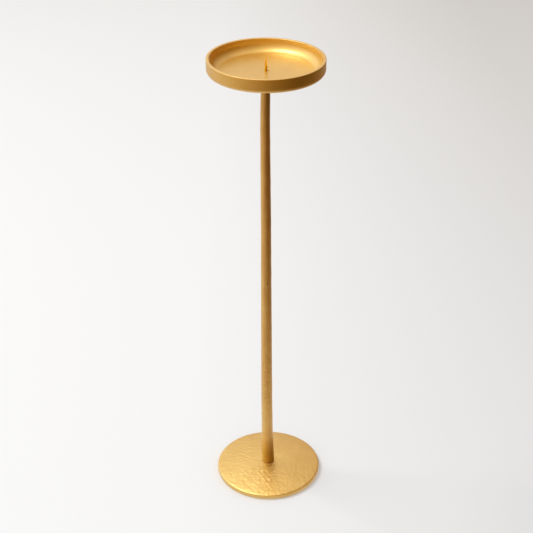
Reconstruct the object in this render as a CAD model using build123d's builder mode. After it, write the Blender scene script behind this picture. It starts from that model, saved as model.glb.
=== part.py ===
from build123d import *
import os
from math import radians, tan

# Tall pillar candle holder, in millimetres.
#
# A turned pan with an upright rim stands on a slender tapered stem, which rises from a low domed base plate.
# Everything is held together along one vertical axis:
# - the pricket, the spike that holds the candle, screws down through the pan's floor into the stem's top
# - a support washer spreads the load of the pan's thin floor over the narrow end of the stem
# - a button-head screw with a spring washer and a flat washer holds the stem to the base plate from below
# - a felt pad is glued into the plate's underside and covers that screw
# The origin is on the surface that the holder stands on, under the middle of the base, and +Z is up.

os.makedirs("parts", exist_ok=True)

# Whole object
OVERALL_HEIGHT = 514.3  # surface to the pan's rim
BASE_DIAMETER = 120.0
PAN_DIAMETER = 120.0

# Felt pad
FELT_THICKNESS = 1.5
FELT_PROUD = 0.4  # how far the felt stands below the plate
FELT_MARGIN = 6.0  # plate's rim outside the felt
FELT_CLEARANCE = 0.3

# Base plate
EDGE_HEIGHT = 5.2  # upright edge
DOME_RISE = 4.8  # middle above the edge
EDGE_RADIUS = 1.2
PLATE_UNDER_CHAMFER = 0.4
STEM_LAND_RADIUS = 7.8  # flat spot on the dome, under the stem's foot

# Stem: a long even taper above a slight flare at the foot
STEM_FOOT_DIAMETER = 14.6
STEM_LOW_DIAMETER = 13.3  # top of the flare
STEM_TOP_DIAMETER = 9.9
STEM_FLARE_HEIGHT = 50.0
STEM_FOOT_RADIUS = 1.2
STEM_TOP_RADIUS = 0.5

# Pan
PAN_HEIGHT = 15.0
PAN_FLOOR = 1.9
PAN_WALL = 3.4
HEEL_RADIUS = 5.0  # outside, between wall and floor
COVE_RADIUS = 10.0  # inside, between wall and floor
RIM_RADIUS = 0.5
LIP_DEPTH = 1.6  # upper band of the inner wall, turned a little wider
LIP_STEP = 0.3

# Pricket
SPIKE_DIAMETER = 2.7
SPIKE_STRAIGHT = 5.0
SPIKE_HEIGHT = 14.0
SPIKE_TIP_DIAMETER = 0.4
PRICKET_IN_STEM = 12.0

# Support washer: outside, hole, thickness
SUPPORT_WASHER = (24.0, 5.3, 1.5)

# Base screw, its washers and the hole for them
FLAT_WASHER = (10.0, 5.3, 1.0)
SPRING_WASHER = (9.2, 5.1, 1.2)
SPRING_GAP = 0.8
SPRING_SLANT = 20.0  # degrees
SCREW_LENGTH = 16.0
SCREW_HEAD_DIAMETER = 9.5
SCREW_HEAD_HEIGHT = 2.75
SCREW_HEAD_FLAT = 6.0  # flat top of the domed head
SCREW_SOCKET = 3.0  # hexagon across flats
SCREW_SOCKET_DEPTH = 1.6
HEAD_COVER = 0.05  # space between the screw's head and the felt
PLATE_HOLE_DIAMETER = 5.5
COUNTERBORE_DIAMETER = 12.0

# M5 thread, the same on the pricket and the screw
THREAD_DIAMETER = 5.0
THREAD_PITCH = 0.8
THREAD_PLAY = 0.05  # crest under the nominal radius, and bore over it
THREAD_DEPTH = 0.49
THREAD_FLANK = 30.0  # degrees, half of the angle between flanks
THREAD_ROOT_WIDTH = 0.2
THREAD_OVERCUT = 0.06
SHANK_CHAMFER = 0.5
BORE_RUNOUT = 2.5  # bore beyond the end of the shank
BORE_CHAMFER = 0.4
WASHER_CHAMFER = 0.15

# Heights and radii worked out from the dimensions above
base_radius = BASE_DIAMETER / 2
plate_bottom = FELT_PROUD
plate_edge = plate_bottom + EDGE_HEIGHT
stem_foot = plate_edge + DOME_RISE
felt_radius = base_radius - FELT_MARGIN

pan_radius = PAN_DIAMETER / 2
pan_inner_radius = pan_radius - PAN_WALL
pan_bottom = OVERALL_HEIGHT - PAN_HEIGHT
pan_floor = pan_bottom + PAN_FLOOR
support_bottom = pan_bottom - SUPPORT_WASHER[2]
stem_top = support_bottom

head_bottom = FELT_THICKNESS + HEAD_COVER
head_top = head_bottom + SCREW_HEAD_HEIGHT
spring_top = head_top + SPRING_WASHER[2]
flat_washer_top = spring_top + FLAT_WASHER[2]

bore_radius = THREAD_DIAMETER / 2 + THREAD_PLAY
crest_radius = THREAD_DIAMETER / 2 - THREAD_PLAY


def save(builder, name):
    """Labels a finished piece and writes its STEP file."""
    builder.part.label = name
    export_step(builder.part, f"parts/{name}.step")


def washer(size, bottom):
    """Adds a flat ring with lightly broken edges to the open part."""
    outside, hole, thickness = size
    with BuildSketch(Plane.XY.offset(bottom)) as face:
        Circle(outside / 2)
        Circle(hole / 2, mode=Mode.SUBTRACT)
    ring = extrude(face.sketch, amount=thickness)
    chamfer(ring.edges().filter_by(GeomType.CIRCLE), length=WASHER_CHAMFER)


def threaded_shank(start, end):
    """Adds a round shank along Z from start to its chamfered end, and cuts the helical groove of its thread."""
    direction = 1 if end > start else -1
    shoulder = start + direction * THREAD_PITCH
    chamfer_start = end - direction * SHANK_CHAMFER
    with BuildSketch(Plane.XZ) as half_profile:
        with BuildLine():
            Polyline(
                (0, start),
                (crest_radius, start),
                (crest_radius, chamfer_start),
                (crest_radius - SHANK_CHAMFER, end),
                (0, end),
                close=True,
            )
        make_face()
    revolve(half_profile.sketch, axis=Axis.Z)
    low = min(shoulder, end + direction * THREAD_PITCH)
    high = max(shoulder, end + direction * THREAD_PITCH)
    root_half = THREAD_ROOT_WIDTH / 2
    mouth_half = root_half + (THREAD_DEPTH + THREAD_OVERCUT) * tan(radians(THREAD_FLANK))
    with BuildLine() as path:
        Helix(pitch=THREAD_PITCH, height=high - low, radius=crest_radius, center=(0, 0, low))
    groove = path.line
    with BuildSketch(Plane(origin=groove @ 0, x_dir=(1, 0, 0), z_dir=groove % 0)) as cutter:
        with BuildLine():
            Polyline(
                (-THREAD_DEPTH, -root_half),
                (THREAD_OVERCUT, -mouth_half),
                (THREAD_OVERCUT, mouth_half),
                (-THREAD_DEPTH, root_half),
                close=True,
            )
        make_face()
    sweep(cutter.sketch, path=groove, is_frenet=True, mode=Mode.SUBTRACT)


def threaded_bore(mouth, depth, direction):
    """Cuts a blind bore for the M5 thread along Z, with a chamfered mouth and a drill point."""
    mouth_radius = bore_radius + BORE_CHAMFER
    with BuildSketch(Plane.XZ) as half_profile:
        with BuildLine():
            Polyline(
                (0, mouth),
                (mouth_radius, mouth),
                (bore_radius, mouth + direction * BORE_CHAMFER),
                (bore_radius, mouth + direction * depth),
                (0, mouth + direction * (depth + bore_radius / 2)),
                close=True,
            )
        make_face()
    revolve(half_profile.sketch, axis=Axis.Z, mode=Mode.SUBTRACT)


# Base plate: a low dome with an upright edge, recessed below for the felt and bored for the screw
with BuildPart() as base_plate:
    with BuildSketch(Plane.XZ) as plate_profile:
        with BuildLine():
            dome = TangentArc(
                (STEM_LAND_RADIUS, stem_foot),
                (base_radius, plate_edge),
                tangent=(1, 0),
            )
            Polyline(
                dome @ 1,
                (base_radius, plate_bottom),
                (0, plate_bottom),
                (0, stem_foot),
                dome @ 0,
            )
        make_face()
        edge_corners = plate_profile.vertices().group_by(Axis.X)[-1].sort_by(Axis.Y)
        fillet(edge_corners[-1], radius=EDGE_RADIUS)
        chamfer(edge_corners[0], length=PLATE_UNDER_CHAMFER)
    revolve(axis=Axis.Z)
    with BuildSketch(Plane.XY.offset(plate_bottom)):
        Circle(felt_radius + FELT_CLEARANCE)
    extrude(amount=FELT_THICKNESS - FELT_PROUD, mode=Mode.SUBTRACT)
    with BuildSketch(Plane.XY.offset(FELT_THICKNESS)):
        Circle(COUNTERBORE_DIAMETER / 2)
    extrude(amount=flat_washer_top - FELT_THICKNESS, mode=Mode.SUBTRACT)
    with BuildSketch(Plane.XY.offset(flat_washer_top)):
        Circle(PLATE_HOLE_DIAMETER / 2)
    extrude(amount=stem_foot - flat_washer_top, mode=Mode.SUBTRACT)
save(base_plate, "base_plate")

# Felt pad
with BuildPart() as felt_pad:
    with BuildSketch(Plane.XY):
        Circle(felt_radius)
    extrude(amount=FELT_THICKNESS)
save(felt_pad, "felt_pad")

# Button-head screw, its head downwards
with BuildPart() as base_screw:
    with BuildSketch(Plane.XZ):
        with BuildLine():
            crown = ThreePointArc(
                (SCREW_HEAD_FLAT / 2, head_bottom),
                (SCREW_HEAD_DIAMETER * 0.44, head_bottom + SCREW_HEAD_HEIGHT * 0.4),
                (SCREW_HEAD_DIAMETER / 2, head_top),
            )
            Polyline(crown @ 1, (0, head_top), (0, head_bottom), crown @ 0)
        make_face()
    revolve(axis=Axis.Z)
    threaded_shank(head_top, head_top + SCREW_LENGTH)
    with BuildSketch(Plane.XY.offset(head_bottom)):
        RegularPolygon(SCREW_SOCKET / 2, 6, major_radius=False)
    extrude(amount=SCREW_SOCKET_DEPTH, mode=Mode.SUBTRACT)
save(base_screw, "base_screw")

# Spring washer: a flat ring cut through at a slant
with BuildPart() as spring_washer:
    washer(SPRING_WASHER, head_top)
    gap_plane = Plane(
        origin=(0, 0, head_top + SPRING_WASHER[2] / 2),
        x_dir=(1, 0, 0),
        z_dir=Vector(0, 0, 1).rotate(Axis.X, SPRING_SLANT),
    )
    with BuildSketch(gap_plane):
        with Locations((SPRING_WASHER[0] / 2, 0)):
            Rectangle(SPRING_WASHER[0], SPRING_GAP)
    extrude(amount=SPRING_WASHER[2] * 2, both=True, mode=Mode.SUBTRACT)
save(spring_washer, "spring_washer")

# Flat washer
with BuildPart() as flat_washer:
    washer(FLAT_WASHER, spring_top)
save(flat_washer, "flat_washer")

# Stem: one tapered profile, bored at both ends
with BuildPart() as stem:
    with BuildSketch(Plane.XZ) as stem_profile:
        with BuildLine():
            Polyline(
                (0, stem_foot),
                (STEM_FOOT_DIAMETER / 2, stem_foot),
                (STEM_LOW_DIAMETER / 2, stem_foot + STEM_FLARE_HEIGHT),
                (STEM_TOP_DIAMETER / 2, stem_top),
                (0, stem_top),
                close=True,
            )
        make_face()
        fillet(stem_profile.vertices().group_by(Axis.Y)[0].sort_by(Axis.X)[-1], radius=STEM_FOOT_RADIUS)
        fillet(stem_profile.vertices().group_by(Axis.Y)[-1].sort_by(Axis.X)[-1], radius=STEM_TOP_RADIUS)
    revolve(axis=Axis.Z)
    screw_reach = head_top + SCREW_LENGTH - stem_foot
    threaded_bore(stem_foot, screw_reach + BORE_RUNOUT, 1)
    threaded_bore(stem_top, PRICKET_IN_STEM + BORE_RUNOUT, -1)
save(stem, "stem")

# Support washer between the stem and the pan
with BuildPart() as support_washer:
    washer(SUPPORT_WASHER, support_bottom)
save(support_washer, "support_washer")

# Pan: one turned profile, with a threaded hole in the middle
with BuildPart() as pan:
    with BuildSketch(Plane.XZ) as pan_profile:
        with BuildLine():
            underside = Line((bore_radius, pan_bottom), (pan_radius - HEEL_RADIUS, pan_bottom))
            heel = TangentArc(underside @ 1, (pan_radius, pan_bottom + HEEL_RADIUS), tangent=(1, 0))
            wall = Polyline(
                heel @ 1,
                (pan_radius, OVERALL_HEIGHT),
                (pan_inner_radius + LIP_STEP, OVERALL_HEIGHT),
                (pan_inner_radius + LIP_STEP, OVERALL_HEIGHT - LIP_DEPTH),
                (pan_inner_radius, OVERALL_HEIGHT - LIP_DEPTH),
                (pan_inner_radius, pan_floor + COVE_RADIUS),
            )
            cove = TangentArc(wall @ 1, (pan_inner_radius - COVE_RADIUS, pan_floor), tangent=(0, -1))
            Polyline(cove @ 1, (bore_radius, pan_floor), underside @ 0)
        make_face()
        fillet(pan_profile.vertices().group_by(Axis.Y)[-1], radius=RIM_RADIUS)
    revolve(axis=Axis.Z)
save(pan, "pan")

# Pricket: a spike on a threaded shank, the shank's end flush with the pan's floor
with BuildPart() as pricket:
    with BuildSketch(Plane.XZ):
        with BuildLine():
            Polyline(
                (0, pan_floor),
                (SPIKE_DIAMETER / 2, pan_floor),
                (SPIKE_DIAMETER / 2, pan_floor + SPIKE_STRAIGHT),
                (SPIKE_TIP_DIAMETER / 2, pan_floor + SPIKE_HEIGHT),
                (0, pan_floor + SPIKE_HEIGHT),
                close=True,
            )
        make_face()
    revolve(axis=Axis.Z)
    threaded_shank(pan_floor, stem_top - PRICKET_IN_STEM)
save(pricket, "pricket")
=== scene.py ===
from math import cos, exp, pi, radians, sin, tan

import bpy
import numpy as np
from mathutils import Matrix, Vector
from mathutils.kdtree import KDTree


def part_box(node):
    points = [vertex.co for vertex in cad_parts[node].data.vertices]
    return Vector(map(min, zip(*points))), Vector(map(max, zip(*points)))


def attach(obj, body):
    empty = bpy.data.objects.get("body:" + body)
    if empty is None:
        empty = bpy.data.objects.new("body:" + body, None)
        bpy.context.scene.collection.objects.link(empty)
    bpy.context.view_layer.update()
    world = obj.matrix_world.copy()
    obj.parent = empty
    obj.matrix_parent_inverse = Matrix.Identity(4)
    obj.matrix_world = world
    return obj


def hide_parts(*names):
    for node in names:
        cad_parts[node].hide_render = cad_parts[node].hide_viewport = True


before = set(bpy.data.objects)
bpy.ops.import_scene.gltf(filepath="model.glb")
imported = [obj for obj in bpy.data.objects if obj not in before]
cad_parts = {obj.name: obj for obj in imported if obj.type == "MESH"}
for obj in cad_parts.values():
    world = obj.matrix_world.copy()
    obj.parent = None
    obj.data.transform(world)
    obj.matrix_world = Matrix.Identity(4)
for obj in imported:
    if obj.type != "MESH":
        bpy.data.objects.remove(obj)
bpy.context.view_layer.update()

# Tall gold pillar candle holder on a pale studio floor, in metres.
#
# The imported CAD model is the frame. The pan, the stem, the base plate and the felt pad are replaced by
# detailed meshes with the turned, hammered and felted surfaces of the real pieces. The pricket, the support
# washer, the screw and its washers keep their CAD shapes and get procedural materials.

MM = 0.001
BODY = "root"


# ---------------------------------------------------------------- places, from the frame

plate_low, plate_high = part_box("base_plate")
stem_low, stem_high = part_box("stem")
pan_low, pan_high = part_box("pan")
felt_low, felt_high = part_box("felt_pad")
screw_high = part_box("base_screw")[1]
pricket_low, pricket_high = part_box("pricket")
flat_washer_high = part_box("flat_washer")[1]

PAN_FLOOR = 1.9 * MM  # above the pan's underside


# ---------------------------------------------------------------- mesh helpers

def arc(centre, radius, start, end, steps):
    """Points (r, z) along an arc, from start to end in degrees."""
    turns = np.radians(np.linspace(start, end, steps + 1))
    return [(centre[0] + radius * cos(t), centre[1] + radius * sin(t)) for t in turns]


def divided(outline, step):
    """The same outline with every run longer than step divided evenly."""
    points = [outline[0]]
    for here, there in zip(outline, outline[1:]):
        pieces = max(1, int(np.ceil(np.hypot(there[0] - here[0], there[1] - here[1]) / step)))
        for i in range(1, pieces + 1):
            share = i / pieces
            points.append((here[0] + share * (there[0] - here[0]), here[1] + share * (there[1] - here[1])))
    return points


SHARP_ANGLE = radians(35)


def new_object(name, verts, faces):
    mesh = bpy.data.meshes.new(name)
    mesh.from_pydata(verts, [], faces)
    mesh.validate()
    mesh.shade_smooth()
    mesh.set_sharp_from_angle(angle=SHARP_ANGLE)
    obj = bpy.data.objects.new(name, mesh)
    bpy.context.scene.collection.objects.link(obj)
    return obj


def turned(name, outline, segments, shape=None):
    """A body of revolution about Z. The outline (r, z) runs counter-clockwise: out along the bottom and in
    along the top. It is closed into a ring, unless it starts and ends on the axis. shape moves the points."""
    closed = outline[0][0] > 0
    ends = None if closed else (outline[0][1], outline[-1][1])
    rings = outline if closed else outline[1:-1]
    count = len(rings)
    angles = np.linspace(0, 2 * pi, segments, endpoint=False)
    radii, heights = (np.array([p[k] for p in rings])[:, None] for k in (0, 1))
    points = np.stack(
        [radii * np.cos(angles), radii * np.sin(angles), np.repeat(heights, segments, axis=1)], axis=2
    )
    if shape:
        points = shape(points)
    verts = points.reshape(-1, 3).tolist()
    faces = []
    for ring in range(count if closed else count - 1):
        here, there = ring * segments, (ring + 1) % count * segments
        for i in range(segments):
            j = (i + 1) % segments
            faces.append((here + i, here + j, there + j, there + i))
    if not closed:
        for ring, height in ((0, ends[0]), (count - 1, ends[1])):
            hub = len(verts)
            verts.append((0.0, 0.0, height))
            for i in range(segments):
                j = (i + 1) % segments
                here, there = ring * segments + i, ring * segments + j
                faces.append((hub, there, here) if ring == 0 else (hub, here, there))
    return new_object(name, verts, faces)


def nearest(points, centres):
    """Distance from each point to the nearest centre, and which centre it is."""
    tree = KDTree(len(centres))
    for i, centre in enumerate(centres):
        tree.insert((centre[0], centre[1], 0.0), i)
    tree.balance()
    found = [tree.find((p[0], p[1], 0.0)) for p in points]
    return np.array([f[2] for f in found]), np.array([f[1] for f in found])


JITTER = 0.38  # of the spacing, either way


def scattered(low, high, spacing, rng):
    """Jittered grid of points over a rectangle. spacing is (first axis, second axis)."""
    cols = np.arange(low[0], high[0], spacing[0])
    rows = np.arange(low[1], high[1], spacing[1])
    grid = np.array([(c + (0.5 * spacing[0] if k % 2 else 0), r) for k, r in enumerate(rows) for c in cols])
    return grid + rng.uniform(-JITTER, JITTER, grid.shape) * np.array(spacing)


def smooth(value, low, high):
    """0 up to low, 1 from high on, and an S-curve between."""
    t = np.clip((value - low) / (high - low), 0, 1)
    return t * t * (3 - 2 * t)


# ---------------------------------------------------------------- camera

CAMERA_DISTANCE = 1.1545  # in front of the holder's axis
CAMERA_HEIGHT = 0.942
CAMERA_PITCH = radians(29.98)
CAMERA_ROLL = radians(-0.38)
CAMERA_SIDE = -0.0008
VIEW_ANGLE = radians(24.5)

camera = bpy.data.objects.new("camera", bpy.data.cameras.new("camera"))
bpy.context.scene.collection.objects.link(camera)
camera.data.sensor_fit = "HORIZONTAL"
camera.data.angle = VIEW_ANGLE
camera.matrix_world = (
    Matrix.Translation((CAMERA_SIDE, -CAMERA_DISTANCE, CAMERA_HEIGHT))
    @ Matrix.Rotation(pi / 2 - CAMERA_PITCH, 4, "X")
    @ Matrix.Rotation(CAMERA_ROLL, 4, "Z")
)
bpy.context.scene.camera = camera


# ---------------------------------------------------------------- material helpers

class Nodes:
    """A short way to write a node tree."""

    def __init__(self, tree):
        self.tree = tree
        tree.nodes.clear()

    def add(self, kind, **settings):
        node = self.tree.nodes.new("ShaderNode" + kind)
        for key, value in settings.items():
            setattr(node, key, value)
        return node

    def link(self, source, target):
        self.tree.links.new(source, target)

    def put(self, socket, value):
        """Puts a number on a socket, or links another socket to it."""
        if isinstance(value, bpy.types.NodeSocket):
            self.link(value, socket)
        else:
            socket.default_value = value

    def math(self, operation, a, b=0.0):
        node = self.add("Math", operation=operation)
        self.put(node.inputs[0], a)
        self.put(node.inputs[1], b)
        return node.outputs[0]

    def split(self, vector):
        node = self.add("SeparateXYZ")
        self.link(vector, node.inputs[0])
        return node.outputs

    def join(self, x, y, z):
        node = self.add("CombineXYZ")
        for socket, value in zip(node.inputs, (x, y, z)):
            self.put(socket, value)
        return node.outputs[0]

    def noise(self, vector, scale, detail=3.0, rough=0.5):
        node = self.add("TexNoise")
        self.link(vector, node.inputs["Vector"])
        node.inputs["Scale"].default_value = scale
        node.inputs["Detail"].default_value = detail
        node.inputs["Roughness"].default_value = rough
        return node.outputs["Fac"]

    def remap(self, value, low, high, to_low, to_high):
        node = self.add("MapRange")
        self.link(value, node.inputs["Value"])
        for name, number in (("From Min", low), ("From Max", high), ("To Min", to_low), ("To Max", to_high)):
            node.inputs[name].default_value = number
        return node.outputs["Result"]

    def scaled(self, vector, factors):
        node = self.add("VectorMath", operation="MULTIPLY")
        self.link(vector, node.inputs[0])
        node.inputs[1].default_value = factors
        return node.outputs[0]

    def spot(self, vector, centre, inner, outer):
        """1 within inner of a point, fading to 0 at outer."""
        node = self.add("VectorMath", operation="DISTANCE")
        self.link(vector, node.inputs[0])
        node.inputs[1].default_value = centre
        return self.remap(node.outputs["Value"], inner, outer, 1.0, 0.0)

    def mix(self, factor, a, b):
        """Colour a where factor is 0 and colour b where it is 1."""
        node = self.add("Mix", data_type="RGBA")
        for index, value in zip((0, 6, 7), (factor, a, b)):  # the sockets for the factor and the two colours
            self.put(node.inputs[index], value)
        return node.outputs[2]

    def bump(self, height, distance, normal=None):
        node = self.add("Bump")
        node.inputs["Strength"].default_value = 1.0
        node.inputs["Distance"].default_value = distance
        self.link(height, node.inputs["Height"])
        if normal:
            self.link(normal, node.inputs["Normal"])
        return node.outputs["Normal"]


def new_material(name):
    material = bpy.data.materials.new(name)
    material.use_nodes = True
    nodes = Nodes(material.node_tree)
    shader = nodes.add("BsdfPrincipled")
    nodes.link(shader.outputs[0], nodes.add("OutputMaterial").inputs["Surface"])
    return material, nodes, shader


def put_on(obj, material):
    obj.data.materials.clear()
    obj.data.materials.append(material)


# ---------------------------------------------------------------- materials

# Base colour of each gold, and its deeper tone
TURNED_GOLD = (0.86, 0.55, 0.066, 1.0)
TURNED_GOLD_DEEP = (0.80, 0.50, 0.05, 1.0)
HAMMERED_GOLD = (0.84, 0.555, 0.13, 1.0)
HAMMERED_GOLD_DEEP = (0.78, 0.495, 0.10, 1.0)
DRAWN_GOLD = (0.88, 0.58, 0.05, 1.0)
DRAWN_GOLD_DEEP = (0.74, 0.46, 0.035, 1.0)
TURNED_GOLD_BAND = (0.72, 0.42, 0.05, 1.0)
# On the stem: its colours, and the heights where its darker foot and head begin and end
DRAW_MARK = (0.72, 0.40, 0.09, 1.0)
CLOUD = (0.86, 0.60, 0.16, 1.0)
SPECK = (0.68, 0.37, 0.03, 1.0)
# Painted light on the stem's ends: a painted reflection of the gold base plate at the foot, painted shade
# under the pan at the head
END_SHADE_AND_REFLECTION = (0.50, 0.325, 0.02, 1.0)
FOOT_REFLECTION_TOP = 46 * MM
FOOT_REFLECTION_BOTTOM = 24 * MM
HEAD_SHADE_BOTTOM = 425 * MM
HEAD_SHADE_TOP = 485 * MM
# Small dark marks: on the pan's floor beside the pricket, and at the stem's front. The pit is colour only
MARK = (0.16, 0.08, 0.02, 1.0)
MARK_PLACE = (pricket_high.x + 0.9 * MM, -0.3 * MM, pan_low.z + PAN_FLOOR)
MARK_REACH = (0.4 * MM, 1.0 * MM)  # full colour up to here, none from here
PIT_PLACE = (0.25 * MM, -5.65 * MM, 257.0 * MM)
PIT_REACH = (0.5 * MM, 1.1 * MM)
# Heights where the stem's specks and cross marks fade in and out
WORN_FOOT = (70 * MM, 100 * MM)
WORN_HEAD = (150 * MM, 200 * MM)
ZINC = (0.62, 0.63, 0.64, 1)
ZINC_DARK = (0.50, 0.51, 0.50, 1)
FELT_DARK = (0.035, 0.032, 0.030, 1)
FELT_LIGHT = (0.075, 0.068, 0.062, 1)


def lacquered_gold(name, light, deep, coat_ior, coat_roughness):
    """Satin gold under a clear lacquer."""
    material, nodes, shader = new_material(name)
    place = nodes.add("TexCoord").outputs["Object"]
    tone = nodes.remap(nodes.noise(place, 45.0), 0.35, 0.65, 0.0, 1.0)
    nodes.link(nodes.mix(tone, light, deep), shader.inputs["Base Color"])
    shader.inputs["Metallic"].default_value = 1.0
    shader.inputs["Coat Weight"].default_value = 1.0
    shader.inputs["Coat Roughness"].default_value = coat_roughness
    shader.inputs["Coat IOR"].default_value = coat_ior
    return material, nodes, shader, place


def turned_gold():
    """Fine turning lines: noises of the distance from the axis and the height only. One dark mark."""
    material, nodes, shader, place = lacquered_gold("gold_turned", TURNED_GOLD, TURNED_GOLD_DEEP, 2.15, 0.3)
    tone = shader.inputs["Base Color"].links[0].from_socket
    x, y, z = nodes.split(place)
    out = nodes.math("SQRT", nodes.math("ADD", nodes.math("POWER", x, 2.0), nodes.math("POWER", y, 2.0)))
    section = nodes.join(out, z, 0.0)
    bands = nodes.remap(nodes.noise(section, 600.0, detail=4.0), 0.5, 0.75, 0.0, 0.5)
    patches = nodes.math("MULTIPLY", bands, nodes.noise(place, 90.0))
    banded = nodes.mix(patches, tone, TURNED_GOLD_BAND)
    mark = nodes.spot(place, MARK_PLACE, *MARK_REACH)
    nodes.link(nodes.mix(mark, banded, MARK), shader.inputs["Base Color"])
    rings = nodes.noise(section, 1800.0, detail=2.0)
    nodes.link(nodes.remap(rings, 0.3, 0.7, 0.42, 0.48), shader.inputs["Roughness"])
    nodes.link(nodes.bump(rings, 0.015 * MM), shader.inputs["Normal"])
    return material


def drawn_gold():
    """The pricket: a smoother, deeper gold with faint lines round it."""
    material, nodes, shader = new_material("gold_drawn")
    height = nodes.split(nodes.add("TexCoord").outputs["Object"])[2]
    lines = nodes.noise(nodes.join(0.0, 0.0, height), 2500.0, detail=2.0)
    nodes.link(nodes.mix(lines, DRAWN_GOLD, DRAWN_GOLD_DEEP), shader.inputs["Base Color"])
    nodes.link(nodes.remap(lines, 0.3, 0.7, 0.16, 0.22), shader.inputs["Roughness"])
    nodes.link(nodes.bump(lines, 0.01 * MM), shader.inputs["Normal"])
    shader.inputs["Metallic"].default_value = 1.0
    return material


def hammered_gold(name):
    """Cast skin with a fine grain."""
    material, nodes, shader, place = lacquered_gold(name, HAMMERED_GOLD, HAMMERED_GOLD_DEEP, 1.8, 0.35)
    grain = nodes.noise(place, 900.0, detail=4.0)
    nodes.link(nodes.remap(grain, 0.3, 0.7, 0.38, 0.48), shader.inputs["Roughness"])
    nodes.link(nodes.bump(grain, 0.03 * MM), shader.inputs["Normal"])
    return material, nodes, shader, place


def forged_gold():
    """The stem: long draw marks, reddish towards its top, specks and cross marks low down, ends darkened by
    painted light (a painted reflection of the base plate at the foot, painted shade under the pan at the
    head) and one dark pit."""
    material, nodes, shader, place = hammered_gold("gold_forged")
    tone, skin = (shader.inputs[name].links[0].from_socket for name in ("Base Color", "Normal"))
    height = nodes.split(place)[2]
    draws = nodes.noise(nodes.scaled(place, (1.0, 1.0, 0.07)), 420.0, detail=4.0)
    marked = nodes.remap(draws, 0.4, 0.62, 0.0, 1.0)
    red = nodes.math("MULTIPLY", marked, nodes.remap(height, 100 * MM, 360 * MM, 0.3, 0.9))
    tone = nodes.mix(red, tone, DRAW_MARK)
    clouds = nodes.remap(nodes.noise(place, 70.0, detail=4.0, rough=0.6), 0.45, 0.7, 0.0, 0.5)
    tone = nodes.mix(clouds, tone, CLOUD)
    low_down = nodes.math("MULTIPLY", nodes.remap(height, *WORN_FOOT, 0.0, 1.0),
                          nodes.remap(height, *WORN_HEAD, 1.0, 0.0))
    grains = nodes.noise(nodes.scaled(place, (1.0, 1.0, 0.6)), 480.0, detail=2.0)
    specks = nodes.remap(grains, 0.42, 0.62, 0.0, 0.7)
    tone = nodes.mix(nodes.math("MULTIPLY", specks, low_down), tone, SPECK)
    # Painted light: the foot darkened as a painted reflection of the gold base plate, the head as painted
    # shade under the pan
    ends = nodes.math("ADD", nodes.remap(height, FOOT_REFLECTION_TOP, FOOT_REFLECTION_BOTTOM, 0.0, 1.0),
                      nodes.remap(height, HEAD_SHADE_BOTTOM, HEAD_SHADE_TOP, 0.0, 0.5))
    tone = nodes.mix(ends, tone, END_SHADE_AND_REFLECTION)
    tone = nodes.mix(nodes.spot(place, PIT_PLACE, *PIT_REACH), tone, MARK)
    nodes.link(tone, shader.inputs["Base Color"])
    nodes.link(nodes.remap(draws, 0.3, 0.7, 0.32, 0.42), shader.inputs["Roughness"])
    crosses = nodes.noise(nodes.scaled(place, (0.35, 0.35, 1.0)), 700.0)
    lined = nodes.bump(draws, 0.35 * MM, normal=skin)
    crossed = nodes.bump(nodes.math("MULTIPLY", crosses, low_down), 0.3 * MM, normal=lined)
    nodes.link(crossed, shader.inputs["Normal"])
    return material


def zinc_steel():
    material, nodes, shader = new_material("zinc_steel")
    place = nodes.add("TexCoord").outputs["Object"]
    spots = nodes.noise(place, 700.0)
    nodes.link(nodes.mix(spots, ZINC, ZINC_DARK), shader.inputs["Base Color"])
    nodes.link(nodes.remap(spots, 0.3, 0.7, 0.28, 0.42), shader.inputs["Roughness"])
    shader.inputs["Metallic"].default_value = 1.0
    return material


def felt():
    material, nodes, shader = new_material("felt")
    place = nodes.add("TexCoord").outputs["Object"]
    fibres = nodes.noise(place, 1500.0, detail=5.0, rough=0.7)
    clumps = nodes.noise(place, 180.0)
    nodes.link(nodes.mix(clumps, FELT_DARK, FELT_LIGHT), shader.inputs["Base Color"])
    shader.inputs["Roughness"].default_value = 0.95
    shader.inputs["Sheen Weight"].default_value = 0.4
    nodes.link(nodes.bump(fibres, 0.4 * MM), shader.inputs["Normal"])
    return material


GOLD_TURNED = turned_gold()
GOLD_DRAWN = drawn_gold()
GOLD_HAMMERED = hammered_gold("gold_hammered")[0]
GOLD_FORGED = forged_gold()
ZINC_STEEL = zinc_steel()
FELT = felt()

put_on(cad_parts["pricket"], GOLD_DRAWN)
put_on(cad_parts["support_washer"], GOLD_TURNED)
for name in ("base_screw", "spring_washer", "flat_washer"):
    put_on(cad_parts[name], ZINC_STEEL)


def finish_piece(obj, node, material):
    put_on(obj, material)
    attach(obj, BODY)
    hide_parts(node)


# ---------------------------------------------------------------- pan

BORE_RADIUS = 2.55 * MM
BORE_CHAMFER = 0.4 * MM
PAN_WALL = 3.4 * MM
HEEL_RADIUS = 5.0 * MM
COVE_RADIUS = 10.0 * MM
RIM_RADIUS = 0.5 * MM
LIP_DEPTH = 1.6 * MM
LIP_STEP = 0.3 * MM
PAN_LEAN = radians(0.5)  # the pan leans a little to the right
PAN_INSET = 0.15 * MM  # keeps the leaning rim within the upright pan's width
NOTCH_DEPTH = 0.9 * MM  # worn spot at the right of the pricket's bore
NOTCH_END = 4.3 * MM  # from the axis
NOTCH_HALF_WIDTH = 0.9 * MM


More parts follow.
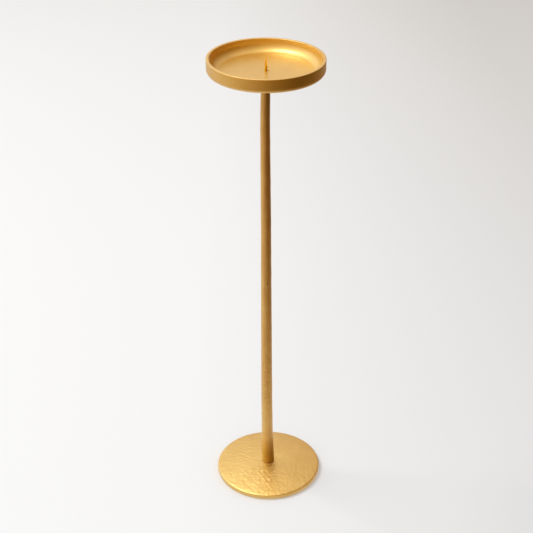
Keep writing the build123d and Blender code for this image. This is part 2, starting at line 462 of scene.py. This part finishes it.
def make_pan():
    outer, rim, bottom = pan_high.x - PAN_INSET, pan_high.z, pan_low.z
    inner = outer - PAN_WALL
    floor = bottom + PAN_FLOOR
    lip = inner + LIP_STEP
    outline = [(BORE_RADIUS, bottom)]
    outline += arc((outer - HEEL_RADIUS, bottom + HEEL_RADIUS), HEEL_RADIUS, -90, 0, 12)
    outline += arc((outer - RIM_RADIUS, rim - RIM_RADIUS), RIM_RADIUS, 0, 90, 5)
    outline += arc((lip + RIM_RADIUS, rim - RIM_RADIUS), RIM_RADIUS, 90, 180, 5)
    outline += [(lip, rim - LIP_DEPTH), (inner, rim - LIP_DEPTH)]
    outline += arc((inner - COVE_RADIUS, floor + COVE_RADIUS), COVE_RADIUS, 0, -90, 18)
    outline = divided(outline, 4 * MM)
    outline += divided([(5 * MM, floor), (BORE_RADIUS, floor)], 0.3 * MM)
    outline += [(BORE_RADIUS, bottom)]

    def shape(points):
        x, y, z = points[..., 0], points[..., 1], points[..., 2]
        radius = np.hypot(x, y)
        across = NOTCH_HALF_WIDTH - np.abs(y + 0.3 * MM)
        near_right = smooth(x, BORE_RADIUS, 2.8 * MM) * smooth(across, 0, 0.5 * MM)
        notch = near_right * smooth(NOTCH_END - radius, 0, 0.5 * MM) * (z > floor - 0.1 * MM)
        moved = points.copy()
        moved[..., 2] -= NOTCH_DEPTH * notch
        up = moved[..., 2] - bottom
        moved[..., 0] = x * cos(PAN_LEAN) + up * sin(PAN_LEAN)
        moved[..., 2] = bottom + up * cos(PAN_LEAN) - x * sin(PAN_LEAN)
        return moved

    pan = turned("pan_dish", outline[:-1], 288, shape)
    finish_piece(pan, "pan", GOLD_TURNED)


make_pan()


# ---------------------------------------------------------------- stem

STEM_FOOT_RADIUS = 1.2 * MM
STEM_TOP_RADIUS = 0.5 * MM
STEM_FLARE = 50.0 * MM
STEM_LOW = 6.65 * MM
STEM_TOP = 4.95 * MM
RING_STEP = 1.2 * MM
BORE_RUNOUT = 2.5 * MM  # the bores go on past the screw and the pricket
FACET_DEPTH = 0.15 * MM
FACET_LENGTH = 14 * MM
STREAK_DEPTH = 0.035 * MM
STREAK_LENGTH = 22 * MM
# Sideways bend of the hand-drawn bar: share of its length, then X and Y in millimetres
STEM_SWAY = [(0.0, -0.35, 0.0), (0.06, -1.1, 0.2), (0.18, -1.5, 0.3), (0.3, -1.4, 0.4), (0.5, -1.25, 0.1),
             (0.65, -1.0, -0.3), (0.8, -1.2, -0.4), (0.9, -1.2, -0.2), (1.0, -0.3, 0.0)]


def make_stem():
    rng = np.random.default_rng(11)
    foot, top = stem_low.z, stem_high.z
    foot_radius = stem_high.x
    screw_end = screw_high.z + BORE_RUNOUT
    pricket_end = pricket_low.z - BORE_RUNOUT
    drill_point = BORE_RADIUS / 2
    outline = [(0.0, screw_end + drill_point), (BORE_RADIUS, screw_end), (BORE_RADIUS, foot + BORE_CHAMFER),
               (BORE_RADIUS + BORE_CHAMFER, foot)]
    skin_low = [(foot_radius, foot + STEM_FOOT_RADIUS), (STEM_LOW, foot + STEM_FLARE),
                (STEM_TOP, top - STEM_TOP_RADIUS)]
    outline += arc((foot_radius - STEM_FOOT_RADIUS, foot + STEM_FOOT_RADIUS), STEM_FOOT_RADIUS, -90, 0, 6)
    outline += divided(skin_low, RING_STEP)[1:]
    outline += arc((STEM_TOP - STEM_TOP_RADIUS, top - STEM_TOP_RADIUS), STEM_TOP_RADIUS, 0, 90, 4)[1:]
    outline += [(BORE_RADIUS + BORE_CHAMFER, top), (BORE_RADIUS, top - BORE_CHAMFER)]
    outline += [(BORE_RADIUS, pricket_end), (0.0, pricket_end - drill_point)]

    facets = scattered((0.0, foot), (2 * pi, top), (2 * pi / 5, 15 * MM), rng)
    streaks = scattered((0.0, foot), (2 * pi, top), (2 * pi / 12, 11 * MM), rng)

    def bowls(angle, height, centres, stretch, reach):
        """Hollow of unit depth round each centre, on the unrolled skin, that ends at reach. One radian counts
        as much as a height of stretch."""
        wrapped = np.concatenate([centres + [turn, 0] for turn in (-2 * pi, 0, 2 * pi)])
        scale = np.array([1.0, 1.0 / stretch])
        flat = np.stack([angle.ravel(), height.ravel()], axis=1) * scale
        gap = nearest(flat, wrapped * scale)[0].reshape(angle.shape) / reach
        return np.clip(gap, 0, 1)**2 - 1

    def shape(points):
        x, y, z = points[..., 0], points[..., 1], points[..., 2]
        radius = np.hypot(x, y)
        angle = np.arctan2(y, x) % (2 * pi)
        skin = smooth(radius, BORE_RADIUS + BORE_CHAMFER, 4.0 * MM)
        shares = (z - foot) / (top - foot)
        dent = FACET_DEPTH * bowls(angle, z, facets, FACET_LENGTH, 0.9)
        dent += STREAK_DEPTH * bowls(angle, z, streaks, STREAK_LENGTH, 0.42)
        dent *= skin * smooth(shares, 0, 0.01)
        stations = [s[0] for s in STEM_SWAY]
        sway_x = np.interp(shares, stations, [s[1] * MM for s in STEM_SWAY])
        sway_y = np.interp(shares, stations, [s[2] * MM for s in STEM_SWAY])
        moved = points.copy()
        moved[..., 0] += skin * sway_x + dent * np.cos(angle)
        moved[..., 1] += skin * sway_y + dent * np.sin(angle)
        return moved

    stem = turned("stem_rod", outline, 72, shape)
    finish_piece(stem, "stem", GOLD_FORGED)


make_stem()


# ---------------------------------------------------------------- base plate

EDGE_HEIGHT = 5.2 * MM
EDGE_RADIUS = 1.2 * MM
UNDER_CHAMFER = 0.4 * MM
LAND_RADIUS = 7.8 * MM
FELT_CLEARANCE = 0.3 * MM
COUNTERBORE = 6.0 * MM
SCREW_HOLE = 2.75 * MM
DIMPLE_RADIUS = 3.3 * MM
DIMPLE_DEPTH = 0.1  # in mm, at the sides
DIMPLE_DEPTH_FRONT = 0.14  # in mm, added at the front
DIMPLE_FADE_RIGHT = 0.3
LONG_MARK_WIDTH = 2.2 * MM
LONG_MARK_DEPTH = 0.18 * MM
LONG_MARK_SQUEEZE = 0.27  # of X, which draws the marks out along it


def make_plate():
    rng = np.random.default_rng(23)
    outer, low, top = plate_high.x, plate_low.z, plate_high.z
    edge = low + EDGE_HEIGHT
    recess = felt_high.x + FELT_CLEARANCE
    ceiling = felt_high.z
    seat = flat_washer_high.z
    run, rise = outer - LAND_RADIUS, top - edge
    dome = (run**2 + rise**2) / (2 * rise)
    end = np.degrees(np.arcsin(run / dome))
    outline = [(SCREW_HOLE, seat), (COUNTERBORE, seat), (COUNTERBORE, ceiling), (recess, ceiling)]
    outline += [(recess, low), (outer - UNDER_CHAMFER, low), (outer, low + UNDER_CHAMFER)]
    outline = divided(outline, 3 * MM)
    outline += arc((outer - EDGE_RADIUS, edge - EDGE_RADIUS), EDGE_RADIUS, 0, 80, 6)
    outline += arc((LAND_RADIUS, top - dome), dome, 90 - end + 1.5 * end * EDGE_RADIUS / run, 90, 84)
    outline += [(SCREW_HOLE, top)]

    low_corner, high_corner = (-outer - 5 * MM,) * 2, (outer + 5 * MM,) * 2
    dimples = scattered(low_corner, high_corner, (5.0 * MM, 4.4 * MM), rng)
    depths = rng.uniform(0.5, 1.3, len(dimples))
    streaks = scattered(low_corner, high_corner, (13 * MM, 3.6 * MM), rng)
    bends = rng.uniform(0, 2 * pi, 2)

    def shape(points):
        x, y, z = points[..., 0], points[..., 1], points[..., 2]
        radius = np.hypot(x, y)
        flat = np.stack([x.ravel(), y.ravel()], axis=1)
        gap, which = nearest(flat, dimples)
        round_ones = (depths[which] * (np.clip(gap / DIMPLE_RADIUS, 0, 1)**2 - 1)).reshape(x.shape)
        wide_wave, narrow_wave = np.sin(x / (7 * MM) + bends[0]), np.sin(x / (3.3 * MM) + bends[1])
        waved = y + 1.6 * MM * wide_wave + 1.0 * MM * narrow_wave
        bent = np.stack([LONG_MARK_SQUEEZE * x.ravel(), waved.ravel()], axis=1)
        gap = nearest(bent, streaks * np.array([LONG_MARK_SQUEEZE, 1.0]))[0]
        long_ones = np.clip(gap.reshape(x.shape) / LONG_MARK_WIDTH, 0, 1)**2 - 1
        left_back = smooth(-x, -4 * MM, 14 * MM) * smooth(y, -16 * MM, 4 * MM)
        front = smooth(-y, -20 * MM, 30 * MM)
        right = smooth(x, 0, 30 * MM)
        depth = (DIMPLE_DEPTH + DIMPLE_DEPTH_FRONT * front) * (1 - DIMPLE_FADE_RIGHT * right) * MM
        dent = depth * (1 - left_back) * round_ones
        dent += LONG_MARK_DEPTH * left_back * long_ones
        top_side = smooth(z, edge - EDGE_RADIUS, edge) * smooth(radius, LAND_RADIUS, LAND_RADIUS + 3 * MM)
        moved = points.copy()
        moved[..., 2] += dent * top_side
        return moved

    plate = turned("base_dome", outline, 480, shape)
    finish_piece(plate, "base_plate", GOLD_HAMMERED)


make_plate()


# ---------------------------------------------------------------- felt pad

FELT_EDGE_RADIUS = 0.4 * MM


def make_felt():
    radius, low, high = felt_high.x, felt_low.z, felt_high.z
    outline = [(0.0, low), (radius - FELT_EDGE_RADIUS, low)]
    outline += arc((radius - FELT_EDGE_RADIUS, low + FELT_EDGE_RADIUS), FELT_EDGE_RADIUS, -90, 0, 3)[1:]
    outline += [(radius, high), (0.0, high)]
    pad = turned("felt_disc", divided(outline, 3 * MM), 240)
    finish_piece(pad, "felt_pad", FELT)


make_felt()


# ---------------------------------------------------------------- stage

AMBIENT = 0.74
SKY_TINT = (1, 0.995, 0.99, 1)
KEY_POWER = 55.0
KEY_SIZE = 1.6
KEY_WAY = Vector((-0.55, 0.25, 0.8))
KEY_DISTANCE = 4.0
FLOOR_HALF = 6
# Painted shade: the floor's colour darkens to the right and far back, where the light falls off
FLOOR_SHADE_RIGHT = (-0.1, 0.5)  # X where the floor's shading to the right begins and ends
FLOOR_SHADE_BACK = (-0.1, 1.8)  # Y, the same to the back
FLOOR_TONE = (0.93, 0.93, 0.93, 1)
FLOOR_SHADED_RIGHT = (0.78, 0.77, 0.765, 1)
FLOOR_SHADED_BACK = (0.835, 0.822, 0.81, 1)
FLOOR_SHADED_BACK_RIGHT = (0.68, 0.65, 0.62, 1)

# The studio that the metal reflects is a plain room: an even light that grows towards the top, the left and
# a little towards the back.
# Warmth turns the light from white (0) to a deep orange (1), and grows low down, to the right and in front.
ROOM_RADIUS = 6.0
ROOM_LIGHT = 0.53
ROOM_LIGHT_TOP = 0.39
ROOM_LIGHT_LEFT = 0.5
ROOM_LIGHT_BACK = 0.16  # behind the holder, halfway up
ROOM_WARMTH = 0.72
ROOM_WARMTH_TOP = -0.6
ROOM_WARMTH_RIGHT = 0.45
ROOM_WARMTH_FRONT = 0.25
WARM_GREEN = 0.55
# Its floor is bright and white round the holder, and away from it dimmer and warmer, most of all on the right
GROUND_REACH = 0.3
GROUND_LIGHT_NEAR = 0.89
GROUND_LIGHT_FAR = 0.41
GROUND_LIGHT_SWING = 0.33
GROUND_BRIGHT_SIDE = radians(240)  # from the front round by the right
GROUND_WARMTH_FAR = 0.55
GROUND_WARMTH_SWING = 0.3

# The soft round panel overhead on the left. PANEL_ROUND runs from the front round by the right
PANEL_LIGHT = 5.6
PANEL_ROUND = radians(262)
PANEL_UP = radians(70)
PANEL_SPREAD = radians(14)  # from its middle to its rim
PANEL_DISTANCE = 4.0


def plane(name, half, height):
    corners = [(x * half, y * half, height) for x, y in ((-1, -1), (1, -1), (1, 1), (-1, 1))]
    obj = new_stage_object(name, corners, [(0, 1, 2, 3)])
    return obj


def make_floor():
    """A pale floor, with painted shade making it a little darker to the right and far back. Metal sees the
    room's own floor instead.
    """
    floor = plane("floor", FLOOR_HALF, 0.0)
    material, nodes, shader = new_material("floor")
    place = nodes.split(nodes.add("TexCoord").outputs["Object"])
    right = nodes.remap(place[0], *FLOOR_SHADE_RIGHT, 0.0, 1.0)
    back = nodes.remap(place[1], *FLOOR_SHADE_BACK, 0.0, 1.0)
    near = nodes.mix(right, FLOOR_TONE, FLOOR_SHADED_RIGHT)
    far = nodes.mix(right, FLOOR_SHADED_BACK, FLOOR_SHADED_BACK_RIGHT)
    nodes.link(nodes.mix(back, near, far), shader.inputs["Base Color"])
    shader.inputs["Roughness"].default_value = 1.0
    shader.inputs["Specular IOR Level"].default_value = 0.0
    put_on(floor, material)
    floor.visible_glossy = False


def glow(obj, strength, attribute=None):
    """Makes the object a light that only reflections see, coloured by a vertex attribute if one is named."""
    material = bpy.data.materials.new(obj.name)
    material.use_nodes = True
    nodes = Nodes(material.node_tree)
    emission = nodes.add("Emission")
    emission.inputs["Strength"].default_value = strength
    if attribute:
        nodes.link(nodes.add("VertexColor", layer_name=attribute).outputs["Color"], emission.inputs["Color"])
        material.cycles.emission_sampling = "NONE"
    nodes.link(emission.outputs[0], nodes.add("OutputMaterial").inputs["Surface"])
    put_on(obj, material)
    for flag in ("visible_camera", "visible_diffuse", "visible_shadow", "visible_transmission"):
        setattr(obj, flag, False)


def new_stage_object(name, verts, faces):
    mesh = bpy.data.meshes.new(name)
    mesh.from_pydata(verts, [], faces)
    obj = bpy.data.objects.new(name, mesh)
    bpy.context.scene.collection.objects.link(obj)
    return obj


def make_room():
    """A dome and its floor. Turns run from the front round by the right."""
    steps = 64
    turn = np.arange(steps) * 2 * pi / steps
    right, front = np.sin(turn), np.cos(turn)
    verts, colours = [], []

    def ring(radius, height, light, warmth):
        levels, tints = np.clip(light, 0, None), np.clip(warmth, 0, 1)
        for x, y, level, tint in zip(radius * right, -radius * front, levels, tints):
            verts.append((x, y, height))
            colours.append((level, level * (1 - WARM_GREEN * tint), level * (1 - tint), 1.0))

    bright_side = np.cos(turn - GROUND_BRIGHT_SIDE)
    for distance in np.geomspace(0.01, ROOM_RADIUS, 32):
        far = 1 - exp(-distance / GROUND_REACH)
        light = (1 - far) * GROUND_LIGHT_NEAR + far * (GROUND_LIGHT_FAR + GROUND_LIGHT_SWING * bright_side)
        warmth = far * (GROUND_WARMTH_FAR - GROUND_WARMTH_SWING * bright_side)
        ring(distance, -0.5 * MM, light, warmth)
    for up in np.radians(np.linspace(1, 89, 34)):
        level, high = cos(up), sin(up)
        light = ROOM_LIGHT + ROOM_LIGHT_TOP * high - ROOM_LIGHT_LEFT * level * right
        light = light + ROOM_LIGHT_BACK * 2 * level * high * ((1 - front) / 2)**2
        warmth = ROOM_WARMTH + ROOM_WARMTH_TOP * high
        warmth = warmth + level * (ROOM_WARMTH_RIGHT * right + ROOM_WARMTH_FRONT * front)
        ring(ROOM_RADIUS * level, ROOM_RADIUS * high, light, warmth)
    rings = len(verts) // steps
    faces = []
    for here in range(0, (rings - 1) * steps, steps):
        there = here + steps
        for i in range(steps):
            j = (i + 1) % steps
            faces.append((here + i, here + j, there + j, there + i))
    faces += [tuple(range(steps)), tuple(range((rings - 1) * steps, rings * steps))]
    room = new_stage_object("room", verts, faces)
    attribute = room.data.color_attributes.new("light", "FLOAT_COLOR", "POINT")
    attribute.data.foreach_set("color", np.array(colours).ravel())
    glow(room, 1.0, "light")


def make_panel():
    turns = np.arange(32) * 2 * pi / 32
    radius = PANEL_DISTANCE * tan(PANEL_SPREAD)
    panel = new_stage_object("panel", [(radius * cos(t), radius * sin(t), 0) for t in turns], [range(32)])
    way = Vector((cos(PANEL_UP) * sin(PANEL_ROUND), -cos(PANEL_UP) * cos(PANEL_ROUND), sin(PANEL_UP)))
    panel.location = PANEL_DISTANCE * way
    panel.rotation_euler = way.to_track_quat("Z", "Y").to_euler()
    glow(panel, PANEL_LIGHT)


def make_lights():
    world = bpy.data.worlds.new("studio")
    bpy.context.scene.world = world
    world.use_nodes = True
    nodes = Nodes(world.node_tree)
    background = nodes.add("Background")
    background.inputs["Color"].default_value = SKY_TINT
    background.inputs["Strength"].default_value = AMBIENT
    nodes.link(background.outputs[0], nodes.add("OutputWorld").inputs["Surface"])

    key = bpy.data.objects.new("key", bpy.data.lights.new("key", "AREA"))
    bpy.context.scene.collection.objects.link(key)
    key.data.size = KEY_SIZE
    key.data.energy = KEY_POWER
    key.location = KEY_WAY.normalized() * KEY_DISTANCE
    key.rotation_euler = (-key.location).to_track_quat("-Z", "Y").to_euler()
    key.visible_glossy = False


make_room()
make_panel()
make_floor()
make_lights()
bpy.context.scene.view_settings.view_transform = "Standard"
